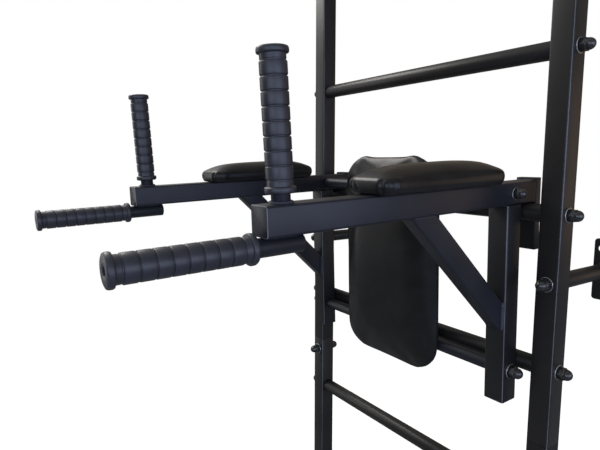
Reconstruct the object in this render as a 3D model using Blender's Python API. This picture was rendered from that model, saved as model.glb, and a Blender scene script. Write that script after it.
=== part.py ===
"""Wall bars with a lift-off dip station, modelled in metres with +Z up.

The origin is on the floor at the foot of the wall, midway between the uprights.
X runs along the rungs, +Y points into the wall, and the station stands out along -Y.
"""

import math

import bmesh
import bpy
from mathutils import Matrix, Vector

# Clearance between pieces that touch
GAP = 0.0003

# Ladder: square tube uprights in two sections, round rungs between them
RUNG_COUNT = 8
RUNG_PITCH = 0.275
RUNG_DIAMETER = 0.032
RUNG_WALL = 0.0015
INNER_WIDTH = 0.622
TUBE_SIZE = 0.040
TUBE_WALL = 0.002
TUBE_CORNER = 0.0035
WALL_STANDOFF = 0.170
SLEEVE_LENGTH = 0.160
SEAM_BOLT_DROP = 0.0295
CAP_HEAD = 0.004
CAP_DEPTH = 0.015
CAP_WALL = 0.0025

# Threaded rods, washers and domed cap nuts
ROD_DIAMETER = 0.012
WASHER_DIAMETER = 0.026
WASHER_THICKNESS = 0.002
NUT_DIAMETER = 0.022
NUT_LENGTH = 0.014
NUT_DOME = 0.009
SMALL_WASHER_DIAMETER = 0.021
SMALL_NUT_DIAMETER = 0.016
SMALL_NUT_LENGTH = 0.011
SMALL_NUT_DOME = 0.007

# Wall brackets: a round standoff tube behind the upright, welded to a plate on the wall
STANDOFF_DIAMETER = 0.029
STANDOFF_WALL = 0.003
STANDOFF_PLUG = 0.010
BRACKET_DROP = 0.120
PLATE_WIDTH = 0.047
PLATE_HEIGHT = 0.121
PLATE_THICKNESS = 0.004
PLATE_CORNER = 0.006
SCREW_HOLE = 0.012
SCREW_ACROSS = 0.022
SCREW_UP = 0.082

# Dip station frame
SIDE_CLEARANCE = 0.021
STATION_SHIFT = -0.008
ARM_LENGTH = 0.558
HOOK_SLOT = 0.0425
HOOK_THICKNESS = 0.016
HOOK_ABOVE_ARM = 0.004
HOOK_BELOW_RUNG = 0.071
POST_BELOW_RUNG = 0.070
BRACE_REACH = 0.1695
BRACE_DEPTH = 0.040
BRACE_WIDTH = 0.028
CROSSBAR_DIAMETER = 0.025
LOWER_BAR_DROP = 0.012
PIPE_WALL = 0.002

# Handles and their rubber grips
HANDLE_DIAMETER = 0.025
FRONT_HANDLE_OVERLAP = 0.061
FRONT_HANDLE_STUB = 0.009
UPRIGHT_HANDLE_SETBACK = 0.0326
UPRIGHT_HANDLE_STUB = 0.012
UPRIGHT_HANDLE_LEAN = math.radians(1.5)
GRIP_LENGTH = 0.176
GRIP_BODY_DIAMETER = 0.035
GRIP_NECK_DIAMETER = 0.033
GRIP_FLANGE_DIAMETER = 0.0405
GRIP_FLANGE_THICKNESS = 0.009
GRIP_FLANGE_CHAMFER = 0.0025
GRIP_END_WALL = 0.005
GRIP_END_MARGIN = 0.0166
GRIP_GROOVES = 9
GRIP_GROOVE_DEPTH = 0.0016
GRIP_GROOVE_WIDTH = 0.0034
GRIP_VENT_DIAMETER = 0.011

# Upholstery
BACK_PAD_WIDTH = 0.284
BACK_PAD_ABOVE_BAR = 0.070
BACK_PAD_BELOW_BAR = 0.064
BACK_PAD_SIDE = 0.016
BACK_PAD_CROWN = 0.016
BACK_PAD_FULLNESS = (6.0, 8.0)
BACK_PAD_CORNER = 0.070
BACK_BOARD_THICKNESS = 0.010
ARM_PAD_LENGTH = 0.268
ARM_PAD_WIDTH = 0.0895
ARM_PAD_FROM_FRONT = 0.171
ARM_PAD_SIDE = 0.027
ARM_PAD_CROWN = 0.0145
ARM_PAD_REAR_RISE = 0.03
ARM_PAD_FULLNESS = (2.4, 6.0)
ARM_PAD_CORNER = 0.023
ARM_BOARD_THICKNESS = 0.009
BOARD_INSET = 0.008
PAD_DRAW_IN = 0.004
PAD_EDGE_SHARE = 0.42
STUD_DIAMETER = 0.006
STUD_NUT_DIAMETER = 0.012
STUD_NUT_LENGTH = 0.0045
BACK_STUD_SPACING = 0.180
ARM_STUD_SPACING = 0.150

# Places worked out from the sizes
HALF_INNER = INNER_WIDTH / 2
UPRIGHT_X = HALF_INNER + TUBE_SIZE / 2
UPRIGHT_Y = -WALL_STANDOFF - TUBE_SIZE / 2
TOTAL_HEIGHT = RUNG_COUNT * RUNG_PITCH
SEAM_HEIGHT = TOTAL_HEIGHT / 2
HOOK_RUNG = RUNG_COUNT // 2 + 1
ROD_HOLE = ROD_DIAMETER + 2 * GAP
SIDES = (("left", -1), ("right", 1))

# Facets round the turned pieces. A grip and its pipe share theirs, so that they nest.
RUNG_FACETS = 16
PIPE_FACETS = 16
HANDLE_FACETS = 12
DRILL_FACETS = 12
ROD_FACETS = 10
STUD_FACETS = 8
CORNER_STEPS = 2
PAD_CORNER_STEPS = 4


def rung_height(index):
    return (index + 0.5) * RUNG_PITCH


BRACKET_LEVELS = (
    ("low", rung_height(2) - BRACKET_DROP),
    ("middle", rung_height(5) - BRACKET_DROP),
    ("top", (rung_height(RUNG_COUNT - 1) + TOTAL_HEIGHT) / 2),
)


# Scene and materials

for leftover in list(bpy.data.objects):
    bpy.data.objects.remove(leftover)


def make_material(name, colour, roughness, metallic=0.0):
    material = bpy.data.materials.new(name)
    material.use_nodes = True
    shader = material.node_tree.nodes["Principled BSDF"]
    shader.inputs["Base Color"].default_value = (*colour, 1.0)
    shader.inputs["Roughness"].default_value = roughness
    shader.inputs["Metallic"].default_value = metallic
    material.diffuse_color = (*colour, 1.0)
    return material


POWDER_COAT = make_material("powder_coat", (0.022, 0.022, 0.023), 0.55)
STATION_COAT = make_material("station_coat", (0.018, 0.019, 0.023), 0.50)
ROD_STEEL = make_material("rod_steel", (0.05, 0.05, 0.055), 0.35, 0.8)
PLASTIC = make_material("plastic", (0.015, 0.015, 0.015), 0.40)
RUBBER = make_material("rubber", (0.020, 0.021, 0.024), 0.60)
LEATHERETTE = make_material("leatherette", (0.016, 0.016, 0.017), 0.38)
PLYWOOD = make_material("plywood", (0.30, 0.21, 0.12), 0.80)


# Shape helpers

def add_object(name, bm, material, parent=None, location=(0, 0, 0), turn=(0, 0, 0), smooth=None):
    """Turn a bmesh into a placed object. smooth is the angle above which an edge stays sharp."""
    bmesh.ops.recalc_face_normals(bm, faces=bm.faces)
    mesh = bpy.data.meshes.new(name)
    bm.to_mesh(mesh)
    bm.free()
    if smooth is not None:
        mesh.shade_smooth()
        mesh.set_sharp_from_angle(angle=math.radians(smooth))
    if material is not None:
        mesh.materials.append(material)
    obj = bpy.data.objects.new(name, mesh)
    bpy.context.collection.objects.link(obj)
    obj.parent = parent
    obj.location = location
    obj.rotation_euler = turn
    return obj


def hide_tool(obj):
    """Keep a cutter or a welded shape out of the finished object."""
    obj.hide_render = True
    obj.display_type = "WIRE"


def add_boolean(target, other, operation):
    modifier = target.modifiers.new(operation.lower(), "BOOLEAN")
    modifier.operation = operation
    modifier.solver = "EXACT"
    modifier.object = other
    hide_tool(other)


def add_ring(bm, points):
    return [bm.verts.new(point) for point in points]


def bridge(bm, ring, other):
    """Join two rings of vertices. A ring of one vertex is a pole."""
    count = max(len(ring), len(other))
    for index in range(count):
        following = (index + 1) % count
        corners = [ring[index % len(ring)], ring[following % len(ring)],
                   other[following % len(other)], other[index % len(other)]]
        unique = list(dict.fromkeys(corners))
        bm.faces.new(unique)


def rounded_outline(width, depth, radius, steps=CORNER_STEPS):
    """Points of a rectangle with round corners, centred on the origin."""
    points = []
    for quarter in range(4):
        centre_x = (width / 2 - radius) * (1 if quarter in (0, 3) else -1)
        centre_y = (depth / 2 - radius) * (1 if quarter in (0, 1) else -1)
        for step in range(steps + 1):
            angle = math.radians(90 * quarter + 90 * step / steps)
            points.append((centre_x + radius * math.cos(angle), centre_y + radius * math.sin(angle)))
    return points


def box_tube(name, material, width, depth, wall, corner, low, high,
             cap_low=False, cap_high=False, **place):
    """A rectangular tube along local Z. A capped end is one wall thick."""
    bm = bmesh.new()
    outer = rounded_outline(width, depth, corner)
    inner = rounded_outline(width - 2 * wall, depth - 2 * wall, corner - wall)
    inner_low = low + wall if cap_low else low
    inner_high = high - wall if cap_high else high
    outer_rings = [add_ring(bm, [(x, y, z) for x, y in outer]) for z in (low, high)]
    inner_rings = [add_ring(bm, [(x, y, z) for x, y in inner]) for z in (inner_low, inner_high)]
    bridge(bm, *outer_rings)
    bridge(bm, *inner_rings)
    for end, capped in enumerate((cap_low, cap_high)):
        if capped:
            bm.faces.new(outer_rings[end])
            bm.faces.new(inner_rings[end])
        else:
            bridge(bm, outer_rings[end], inner_rings[end])
    return add_object(name, bm, material, smooth=30, **place)


def turned(name, material, profile, sides, looped=False, **place):
    """Turn a profile of (radius, height) points about local Z.

    The profile ends on the axis, or is looped back to its start round a bore.
    """
    bm = bmesh.new()
    rings = []
    for radius, height in profile:
        if radius == 0:
            rings.append(add_ring(bm, [(0, 0, height)]))
            continue
        angles = [math.tau * side / sides for side in range(sides)]
        rings.append(add_ring(bm, [(radius * math.cos(a), radius * math.sin(a), height) for a in angles]))
    for ring, other in zip(rings, rings[1:]):
        bridge(bm, ring, other)
    if looped:
        bridge(bm, rings[-1], rings[0])
    return add_object(name, bm, material, smooth=40, **place)


def pipe(name, material, diameter, wall, low, high, sides, closed_low=False, **place):
    """A round tube along local Z, with its low end open or closed by a disc."""
    outer = diameter / 2
    inner = outer - wall
    if closed_low:
        profile = [(0, low), (outer, low), (outer, high), (inner, high), (inner, low + wall), (0, low + wall)]
        return turned(name, material, profile, sides, **place)
    profile = [(outer, low), (outer, high), (inner, high), (inner, low)]
    return turned(name, material, profile, sides, looped=True, **place)


def nut_profile(seat, small=False):
    """Half of a fastener, from its domed tip down to the rod under the washer that sits at seat."""
    washer = (SMALL_WASHER_DIAMETER if small else WASHER_DIAMETER) / 2
    nut = (SMALL_NUT_DIAMETER if small else NUT_DIAMETER) / 2
    rise = SMALL_NUT_DOME if small else NUT_DOME
    washer_top = seat + WASHER_THICKNESS
    shoulder = washer_top + (SMALL_NUT_LENGTH if small else NUT_LENGTH)
    dome = [(nut * math.sin(angle), shoulder + rise * math.cos(angle))
            for angle in (0, math.radians(35), math.radians(65))]
    return dome + [(nut, shoulder), (nut, washer_top), (washer, washer_top), (washer, seat),
                   (ROD_DIAMETER / 2, seat)]


def rod_with_nuts(name, length, small=False, **place):
    """A rod that clamps a width of length, with a washer and a domed nut at both ends."""
    seat = length / 2 + GAP
    half = nut_profile(seat, small)
    profile = half + [(radius, -height) for radius, height in reversed(half)]
    return turned(name, ROD_STEEL, profile, ROD_FACETS, **place)


def drill(target, holes, parent=None):
    """Cut round holes. Each hole is a centre, a direction, a diameter and a length."""
    bm = bmesh.new()
    for centre, direction, diameter, length in holes:
        turn = Vector(direction).to_track_quat("Z", "Y").to_matrix().to_4x4()
        bmesh.ops.create_cone(bm, cap_ends=True, segments=DRILL_FACETS, radius1=diameter / 2,
                              radius2=diameter / 2, depth=length,
                              matrix=Matrix.Translation(centre) @ turn)
    cutter = add_object(target.name + "_drill", bm, None, parent=parent)
    add_boolean(target, cutter, "DIFFERENCE")


def slab(name, material, outline, low, high, **place):
    """A flat plate: an outline in local X and Y, thick along local Z."""
    bm = bmesh.new()
    bottom = add_ring(bm, [(x, y, low) for x, y in outline])
    top = add_ring(bm, [(x, y, high) for x, y in outline])
    bridge(bm, bottom, top)
    bm.faces.new(bottom)
    bm.faces.new(top)
    return add_object(name, bm, material, **place)


def cushion(name, width, length, corner, side, crown, fullness, rear_rise=0, **place):
    """An upholstered pad on local Z: sides drawn in at the base, a soft edge and a crowned top.

    The fullness holds the powers of the crown's curve across and along the pad. The pad is
    thicker by the share rear_rise at its +Y end, and thinner by as much at the other.
    """
    edge = side * PAD_EDGE_SHARE
    straight = side - edge
    bm = bmesh.new()
    rings = []
    for inset, height in ((PAD_DRAW_IN, 0), (0, straight / 2), (0, straight)):
        outline = rounded_outline(width - 2 * inset, length - 2 * inset, corner - inset, PAD_CORNER_STEPS)
        rings.append(add_ring(bm, [(x, y, height) for x, y in outline]))
    for degrees in (22.5, 45):
        angle = math.radians(degrees)
        inset = edge * (1 - math.cos(angle))
        shoulder = straight + edge * math.sin(angle)
        outline = rounded_outline(width - 2 * inset, length - 2 * inset, corner, PAD_CORNER_STEPS)
        rings.append(add_ring(bm, [(x, y, shoulder) for x, y in outline]))
    rise = side + crown - shoulder
    for share in (0.92, 0.8, 0.55, 0.28):
        points = []
        for x, y in outline:
            across = 1 - abs(x * share / (width / 2 - inset)) ** fullness[0]
            along = 1 - abs(y * share / (length / 2 - inset)) ** fullness[1]
            points.append((x * share, y * share, shoulder + rise * across * along))
        rings.append(add_ring(bm, points))
    rings.append(add_ring(bm, [(0, 0, side + crown)]))
    for ring, other in zip(rings, rings[1:]):
        bridge(bm, ring, other)
    bm.faces.new(rings[0])
    for vert in bm.verts:
        vert.co.z *= 1 + rear_rise * vert.co.y / (length / 2)
    return add_object(name, bm, LEATHERETTE, smooth=60, **place)


def pad_board(name, width, length, corner, thickness, studs, stud_end, **place):
    """A plywood board with its back at local Z 0, and studs behind it that end as stud_end says."""
    outline = rounded_outline(width, length, corner, PAD_CORNER_STEPS)
    board = slab(name, PLYWOOD, outline, 0, thickness, **place)
    profile = [(0, thickness / 2), (STUD_DIAMETER / 2, thickness / 2)] + stud_end
    for index, (x, y) in enumerate(studs):
        location = place["location"] + Matrix.Rotation(place["turn"][0], 3, "X") @ Vector((x, y, 0))
        piece = turned(f"{name}_stud_{index}", ROD_STEEL, profile, STUD_FACETS, parent=place["parent"],
                       location=location, turn=place["turn"])
        add_boolean(board, piece, "UNION")
    return board


def plain_stud(length):
    """A stud screwed into a tapped wall."""
    return [(STUD_DIAMETER / 2, -length), (0, -length)]


def stud_and_nut(length):
    """A stud that passes a wall, with a nut behind the wall."""
    nut_start = -length - GAP
    nut_end = nut_start - STUD_NUT_LENGTH
    nut = STUD_NUT_DIAMETER / 2
    return [(STUD_DIAMETER / 2, nut_start), (nut, nut_start), (nut, nut_end), (0, nut_end)]


# Ladder

def bolt_levels():
    """Heights of the bolts that pass through the uprights from front to back."""
    return [height for _, height in BRACKET_LEVELS] + [SEAM_HEIGHT - SEAM_BOLT_DROP]


def build_upright_section(name, x, low, high):
    section = box_tube(name, POWDER_COAT, TUBE_SIZE, TUBE_SIZE, TUBE_WALL, TUBE_CORNER, low, high,
                       location=(x, UPRIGHT_Y, 0))
    through = TUBE_SIZE * 1.5
    holes = [((x, UPRIGHT_Y, rung_height(index)), (1, 0, 0), ROD_HOLE, through)
             for index in range(RUNG_COUNT) if low < rung_height(index) < high]
    holes += [((x, UPRIGHT_Y, height), (0, 1, 0), ROD_HOLE, through)
              for height in bolt_levels() if low < height < high]
    drill(section, holes)


def build_end_cap(name, x, end, inward):
    """A plastic plug: its head closes the tube at height end, and its hollow skirt goes inward."""
    inner = TUBE_SIZE - 2 * TUBE_WALL - 2 * GAP
    corner = TUBE_CORNER - TUBE_WALL - GAP
    head = rounded_outline(TUBE_SIZE, TUBE_SIZE, TUBE_CORNER)
    skirt = rounded_outline(inner, inner, corner)
    pocket = rounded_outline(inner - 2 * CAP_WALL, inner - 2 * CAP_WALL, corner / 2)
    under_head = end + inward * CAP_HEAD
    tip = under_head + inward * CAP_DEPTH
    bm = bmesh.new()
    rings = [add_ring(bm, [(px, py, z) for px, py in outline])
             for outline, z in ((head, end), (head, under_head), (skirt, under_head), (skirt, tip),
                                (pocket, tip), (pocket, under_head))]
    for ring, other in zip(rings, rings[1:]):
        bridge(bm, ring, other)
    bm.faces.new(rings[0])
    bm.faces.new(rings[-1])
    add_object(name, bm, PLASTIC, location=(x, UPRIGHT_Y, 0), smooth=30)


def build_uprights():
    for side, sign in SIDES:
        x = sign * UPRIGHT_X
        build_upright_section(f"upright_{side}_lower", x, CAP_HEAD + GAP, SEAM_HEIGHT - GAP / 2)
        top = TOTAL_HEIGHT - CAP_HEAD - GAP
        build_upright_section(f"upright_{side}_upper", x, SEAM_HEIGHT + GAP / 2, top)
        build_end_cap(f"foot_cap_{side}", x, 0, 1)
        build_end_cap(f"top_cap_{side}", x, TOTAL_HEIGHT, -1)


def build_seam_joints():
    """Sleeves inside the two sections, each held by a bolt just below the seam."""
    size = TUBE_SIZE - 2 * TUBE_WALL - 2 * GAP
    corner = TUBE_CORNER - TUBE_WALL - GAP
    bolt_height = SEAM_HEIGHT - SEAM_BOLT_DROP
    for side, sign in SIDES:
        x = sign * UPRIGHT_X
        sleeve = box_tube(f"joint_sleeve_{side}", ROD_STEEL, size, size, corner * 0.9, corner,
                          SEAM_HEIGHT - SLEEVE_LENGTH / 2, SEAM_HEIGHT + SLEEVE_LENGTH / 2,
                          location=(x, UPRIGHT_Y, 0))
        drill(sleeve, [((x, UPRIGHT_Y, bolt_height), (0, 1, 0), ROD_HOLE, TUBE_SIZE * 1.5)])
        rod_with_nuts(f"seam_bolt_{side}", TUBE_SIZE, location=(x, UPRIGHT_Y, bolt_height),
                      turn=(math.radians(90), 0, 0))


def build_rungs():
    half = HALF_INNER - GAP
    across = (0, math.radians(90), 0)
    for index in range(RUNG_COUNT):
        place = {"location": (0, UPRIGHT_Y, rung_height(index)), "turn": across}
        pipe(f"rung_{index + 1}", POWDER_COAT, RUNG_DIAMETER, RUNG_WALL, -half, half, RUNG_FACETS, **place)
        rod_with_nuts(f"rung_rod_{index + 1}", 2 * (HALF_INNER + TUBE_SIZE), **place)


def standoff(name, x, height):
    """The bracket's tube, with its plug at the upright and the stud, washer and nut in front of it.

    Its local Z runs out of the wall, and its bore is open at the wall.
    """
    radius = STANDOFF_DIAMETER / 2
    bore = radius - STANDOFF_WALL
    tube_front = -TUBE_SIZE / 2 - GAP
    tube_back = -TUBE_SIZE / 2 - WALL_STANDOFF + PLATE_THICKNESS / 2
    plug_back = tube_front - STANDOFF_PLUG
    profile = nut_profile(TUBE_SIZE / 2 + GAP)
    profile += [(ROD_DIAMETER / 2, tube_front), (radius, tube_front), (radius, tube_back),
                (bore, tube_back), (bore, plug_back), (0, plug_back)]
    return turned(name, POWDER_COAT, profile, ROD_FACETS, location=(x, UPRIGHT_Y, height),
                  turn=(math.radians(90), 0, 0))


def build_wall_brackets():
    """Each plate lies on the wall, with a hole at its upper left and one at its lower right."""
    for side, sign in SIDES:
        x = sign * UPRIGHT_X
        for level, height in BRACKET_LEVELS:
            name = f"wall_bracket_{side}_{level}"
            outline = rounded_outline(PLATE_WIDTH, PLATE_HEIGHT, PLATE_CORNER)
            bracket = slab(name, POWDER_COAT, outline, 0, PLATE_THICKNESS,
                           location=(x, 0, height), turn=(math.radians(90), 0, 0))
            depth = PLATE_THICKNESS * 4
            holes = [((x, 0, height), (0, 1, 0), STANDOFF_DIAMETER - STANDOFF_WALL, depth)]
            for end in (-1, 1):
                centre = (x + end * SCREW_ACROSS / 2, 0, height - end * SCREW_UP / 2)
                holes.append((centre, (0, 1, 0), SCREW_HOLE, depth))
            drill(bracket, holes)
            add_boolean(bracket, standoff(name + "_standoff", x, height), "UNION")


# Dip station, in its own frame: the origin is on the axis of the rung that it hangs on

RUNG_RADIUS = RUNG_DIAMETER / 2
LEG_FRONT = RUNG_RADIUS + GAP
POST_BACK = LEG_FRONT - HOOK_SLOT
POST_FRONT = POST_BACK - TUBE_SIZE
POST_CENTRE = POST_BACK - TUBE_SIZE / 2
LEAN = math.asin((-POST_BACK - GAP - RUNG_RADIUS) / RUNG_PITCH)
ARM_BOTTOM = RUNG_RADIUS + GAP
ARM_TOP = ARM_BOTTOM + TUBE_SIZE
ARM_BACK = LEG_FRONT - GAP
ARM_FRONT = ARM_BACK - ARM_LENGTH
ARM_X = HALF_INNER - SIDE_CLEARANCE - TUBE_SIZE / 2
ARM_INNER_X = ARM_X - TUBE_SIZE / 2
UPPER_BAR_Z = ARM_BOTTOM + TUBE_SIZE / 2
LOWER_BAR_Z = -RUNG_PITCH - LOWER_BAR_DROP
POST_LOW = -RUNG_PITCH - POST_BELOW_RUNG


def make_station_frame():
    """The station leans until its posts meet the next rung down, with its origin on the hook rung."""
    frame = bpy.data.objects.new("station_lift", None)
    bpy.context.collection.objects.link(frame)
    frame.location = (STATION_SHIFT, UPRIGHT_Y, rung_height(HOOK_RUNG))
    frame.rotation_euler = (LEAN, 0, 0)
    return frame


def build_arm(frame, side, x):
    """The arm lies along Y: its capped front end is the low end of the tube."""
    arm = box_tube(f"arm_{side}", STATION_COAT, TUBE_SIZE, TUBE_SIZE, TUBE_WALL, TUBE_CORNER,
                   0, ARM_LENGTH, cap_low=True, parent=frame,
                   location=(x, ARM_FRONT, UPPER_BAR_Z), turn=(math.radians(-90), 0, 0))
    holes = [((x, POST_CENTRE, UPPER_BAR_Z), (1, 0, 0), ROD_HOLE, TUBE_SIZE * 1.5)]
    for stud_y in arm_stud_places():
        holes.append(((x, stud_y, ARM_TOP), (0, 0, 1), STUD_DIAMETER + 2 * GAP, TUBE_WALL * 4))
    drill(arm, holes, frame)


def build_post(frame, side, x):
    post = box_tube(f"post_{side}", STATION_COAT, TUBE_SIZE, TUBE_SIZE, TUBE_WALL, TUBE_CORNER,
                    POST_LOW, ARM_BOTTOM - GAP, parent=frame, location=(x, POST_CENTRE, 0))
    drill(post, [((x, POST_CENTRE, LOWER_BAR_Z), (1, 0, 0), ROD_HOLE, TUBE_SIZE * 1.5)], frame)


def build_brace(frame, side, x):
    """A tube at 45 degrees, mitred to lie under the arm and against the front of the post."""
    across = BRACE_DEPTH * math.sqrt(2)
    post_face = POST_FRONT - GAP
    arm_face = ARM_BOTTOM - GAP
    corner_sum = post_face + arm_face - BRACE_REACH - across / 2
    outer = rounded_outline(BRACE_WIDTH, across, TUBE_CORNER)
    inner = rounded_outline(BRACE_WIDTH - 2 * TUBE_WALL, across - 2 * TUBE_WALL * math.sqrt(2),
                            TUBE_CORNER - TUBE_WALL)
    bm = bmesh.new()
    rings = []
    for outline in (outer, inner):
        rings.append(add_ring(bm, [(px, corner_sum - arm_face + shift, arm_face) for px, shift in outline]))
        rings.append(add_ring(bm, [(px, post_face, corner_sum - post_face + shift) for px, shift in outline]))
    outer_arm, outer_post, inner_arm, inner_post = rings
    bridge(bm, outer_arm, outer_post)
    bridge(bm, inner_arm, inner_post)
    bridge(bm, outer_arm, inner_arm)
    bridge(bm, outer_post, inner_post)
    add_object(f"brace_{side}", bm, STATION_COAT, parent=frame, location=(x, 0, 0), smooth=30)


def build_hook_leg(frame, side, x):
    """The leg closes the back of the arm and goes down behind the rung."""
    box_tube(f"hook_leg_{side}", STATION_COAT, TUBE_SIZE, HOOK_THICKNESS, TUBE_WALL, TUBE_WALL * 1.25,
             -HOOK_BELOW_RUNG, ARM_TOP + HOOK_ABOVE_ARM, cap_high=True, parent=frame,
             location=(x, LEG_FRONT + HOOK_THICKNESS / 2, 0))


def grip_profile():
    """A rubber sleeve: flanges at both ends, grooves between them and a bore closed at the top."""
    body = GRIP_BODY_DIAMETER / 2
    neck = GRIP_NECK_DIAMETER / 2
    flange = GRIP_FLANGE_DIAMETER / 2
    bore = HANDLE_DIAMETER / 2 + GAP
    lower_end = [(flange - GRIP_FLANGE_CHAMFER, 0), (flange, GRIP_FLANGE_CHAMFER),
                 (flange, GRIP_FLANGE_THICKNESS), (neck, GRIP_FLANGE_THICKNESS)]
    upper_end = [(radius, GRIP_LENGTH - height) for radius, height in reversed(lower_end)]
    pitch = (GRIP_LENGTH - 2 * GRIP_END_MARGIN) / (GRIP_GROOVES - 1)
    grooves = []
    for index in range(GRIP_GROOVES):
        centre = GRIP_END_MARGIN + index * pitch
        grooves += [(body, centre - GRIP_GROOVE_WIDTH / 2), (body - GRIP_GROOVE_DEPTH, centre),
                    (body, centre + GRIP_GROOVE_WIDTH / 2)]
    bore_end = GRIP_LENGTH - GRIP_END_WALL
    vent = GRIP_VENT_DIAMETER / 2
    hollow = [(vent, GRIP_LENGTH), (vent, bore_end), (bore, bore_end), (bore, 0)]
    return lower_end + grooves + upper_end + hollow


def build_handle(frame, name, side, start, overlap, stub, turn, closed):
    """A handle pipe and its grip. The grip begins after the stub, and overlap is the pipe before it."""
    reach = overlap + stub + GRIP_LENGTH - GRIP_END_WALL - GAP
    pipe(f"{name}_handle_{side}", STATION_COAT, HANDLE_DIAMETER, PIPE_WALL, 0, reach,
         HANDLE_FACETS, closed_low=closed, parent=frame, location=start, turn=turn)
    along = Matrix.Rotation(turn[0], 3, "X") @ Vector((0, 0, overlap + stub))
    turned(f"{name}_grip_{side}", RUBBER, grip_profile(), HANDLE_FACETS, looped=True, parent=frame,
           location=Vector(start) + along, turn=turn)


def build_handles(frame, side, x):
    forward = (math.radians(90), 0, 0)
    front_start = (x, ARM_FRONT + FRONT_HANDLE_OVERLAP, ARM_BOTTOM - GAP - HANDLE_DIAMETER / 2)
    build_handle(frame, "front", side, front_start, FRONT_HANDLE_OVERLAP, FRONT_HANDLE_STUB, forward, True)
    lift = GAP + HANDLE_DIAMETER / 2 * math.sin(UPRIGHT_HANDLE_LEAN)
    upright_start = (x, ARM_FRONT + UPRIGHT_HANDLE_SETBACK, ARM_TOP + lift)
    build_handle(frame, "upright", side, upright_start, 0, UPRIGHT_HANDLE_STUB,
                 (UPRIGHT_HANDLE_LEAN, 0, 0), False)


def build_crossbars(frame):
    half = ARM_INNER_X - GAP
    across = (0, math.radians(90), 0)
    for level, height in (("upper", UPPER_BAR_Z), ("lower", LOWER_BAR_Z)):
        bar = pipe(f"{level}_crossbar", STATION_COAT, CROSSBAR_DIAMETER, PIPE_WALL, -half, half,
                   PIPE_FACETS, parent=frame, location=(0, POST_CENTRE, height), turn=across)
        front = POST_CENTRE - CROSSBAR_DIAMETER / 2
        drill(bar, [((sign * BACK_STUD_SPACING / 2, front, height), (0, 1, 0),
                     STUD_DIAMETER + 2 * GAP, PIPE_WALL * 4) for sign in (-1, 1)], frame)
        rod_with_nuts(f"{level}_crossbar_rod", 2 * (ARM_X + TUBE_SIZE / 2), level == "upper",
                      parent=frame, location=(0, POST_CENTRE, height), turn=across)


def build_back_pad(frame):
    """The back pad faces -Y. Its board lies on the two crossbars, and its studs are screwed into them."""
    high = UPPER_BAR_Z + BACK_PAD_ABOVE_BAR
    low = LOWER_BAR_Z - BACK_PAD_BELOW_BAR
    middle = (high + low) / 2
    back = POST_CENTRE - CROSSBAR_DIAMETER / 2 - GAP
    facing = (math.radians(90), 0, 0)
    place = {"parent": frame, "location": Vector((0, back, middle)), "turn": facing}
    studs = [(sign * BACK_STUD_SPACING / 2, height - middle)
             for sign in (-1, 1) for height in (UPPER_BAR_Z, LOWER_BAR_Z)]
    board_width = BACK_PAD_WIDTH - 2 * BOARD_INSET
    board_length = high - low - 2 * BOARD_INSET
    board_corner = BACK_PAD_CORNER - BOARD_INSET
    pad_board("back_pad_board", board_width, board_length, board_corner, BACK_BOARD_THICKNESS,
              studs, plain_stud(PIPE_WALL * 1.5), **place)
    pad = cushion("back_pad", BACK_PAD_WIDTH, high - low, BACK_PAD_CORNER,
                  BACK_PAD_SIDE, BACK_PAD_CROWN, BACK_PAD_FULLNESS, **place)
    pocket_board(pad, board_width, board_length, board_corner, BACK_BOARD_THICKNESS, place)


def pocket_board(pad, width, length, corner, thickness, place):
    """Cut the room for the board into the back of the pad."""
    outline = rounded_outline(width + 2 * GAP, length + 2 * GAP, corner + GAP, PAD_CORNER_STEPS)
    pocket = slab(pad.name + "_pocket", None, outline, -thickness, thickness + GAP, **place)
    add_boolean(pad, pocket, "DIFFERENCE")


def arm_stud_places():
    middle = ARM_FRONT + ARM_PAD_FROM_FRONT + ARM_PAD_LENGTH / 2
    return [middle - ARM_STUD_SPACING / 2, middle + ARM_STUD_SPACING / 2]


def build_arm_pad(frame, side, x):
    """The arm pad lies on the arm. Its studs go through the top wall to nuts inside the tube."""
    middle = ARM_FRONT + ARM_PAD_FROM_FRONT + ARM_PAD_LENGTH / 2
    place = {"parent": frame, "location": Vector((x, middle, ARM_TOP + GAP)), "turn": (0, 0, 0)}
    board_width = ARM_PAD_WIDTH - 2 * BOARD_INSET
    board_length = ARM_PAD_LENGTH - 2 * BOARD_INSET
    board_corner = ARM_PAD_CORNER - BOARD_INSET
    studs = [(0, stud_y - middle) for stud_y in arm_stud_places()]
    pad_board(f"arm_pad_board_{side}", board_width, board_length, board_corner,
              ARM_BOARD_THICKNESS, studs, stud_and_nut(TUBE_WALL + GAP), **place)
    pad = cushion(f"arm_pad_{side}", ARM_PAD_WIDTH, ARM_PAD_LENGTH, ARM_PAD_CORNER,
                  ARM_PAD_SIDE, ARM_PAD_CROWN, ARM_PAD_FULLNESS, ARM_PAD_REAR_RISE, **place)
    pocket_board(pad, board_width, board_length, board_corner, ARM_BOARD_THICKNESS, place)


def build_station():
    frame = make_station_frame()
    for side, sign in SIDES:
        x = sign * ARM_X
        build_arm(frame, side, x)
        build_post(frame, side, x)
        build_brace(frame, side, x)
        build_hook_leg(frame, side, x)
        build_handles(frame, side, x)
        build_arm_pad(frame, side, x)
    build_crossbars(frame)
    build_back_pad(frame)


build_uprights()
build_seam_joints()
build_rungs()
build_wall_brackets()
build_station()
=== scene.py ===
import math

import bmesh
import bpy
from mathutils import Matrix, Vector


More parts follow.
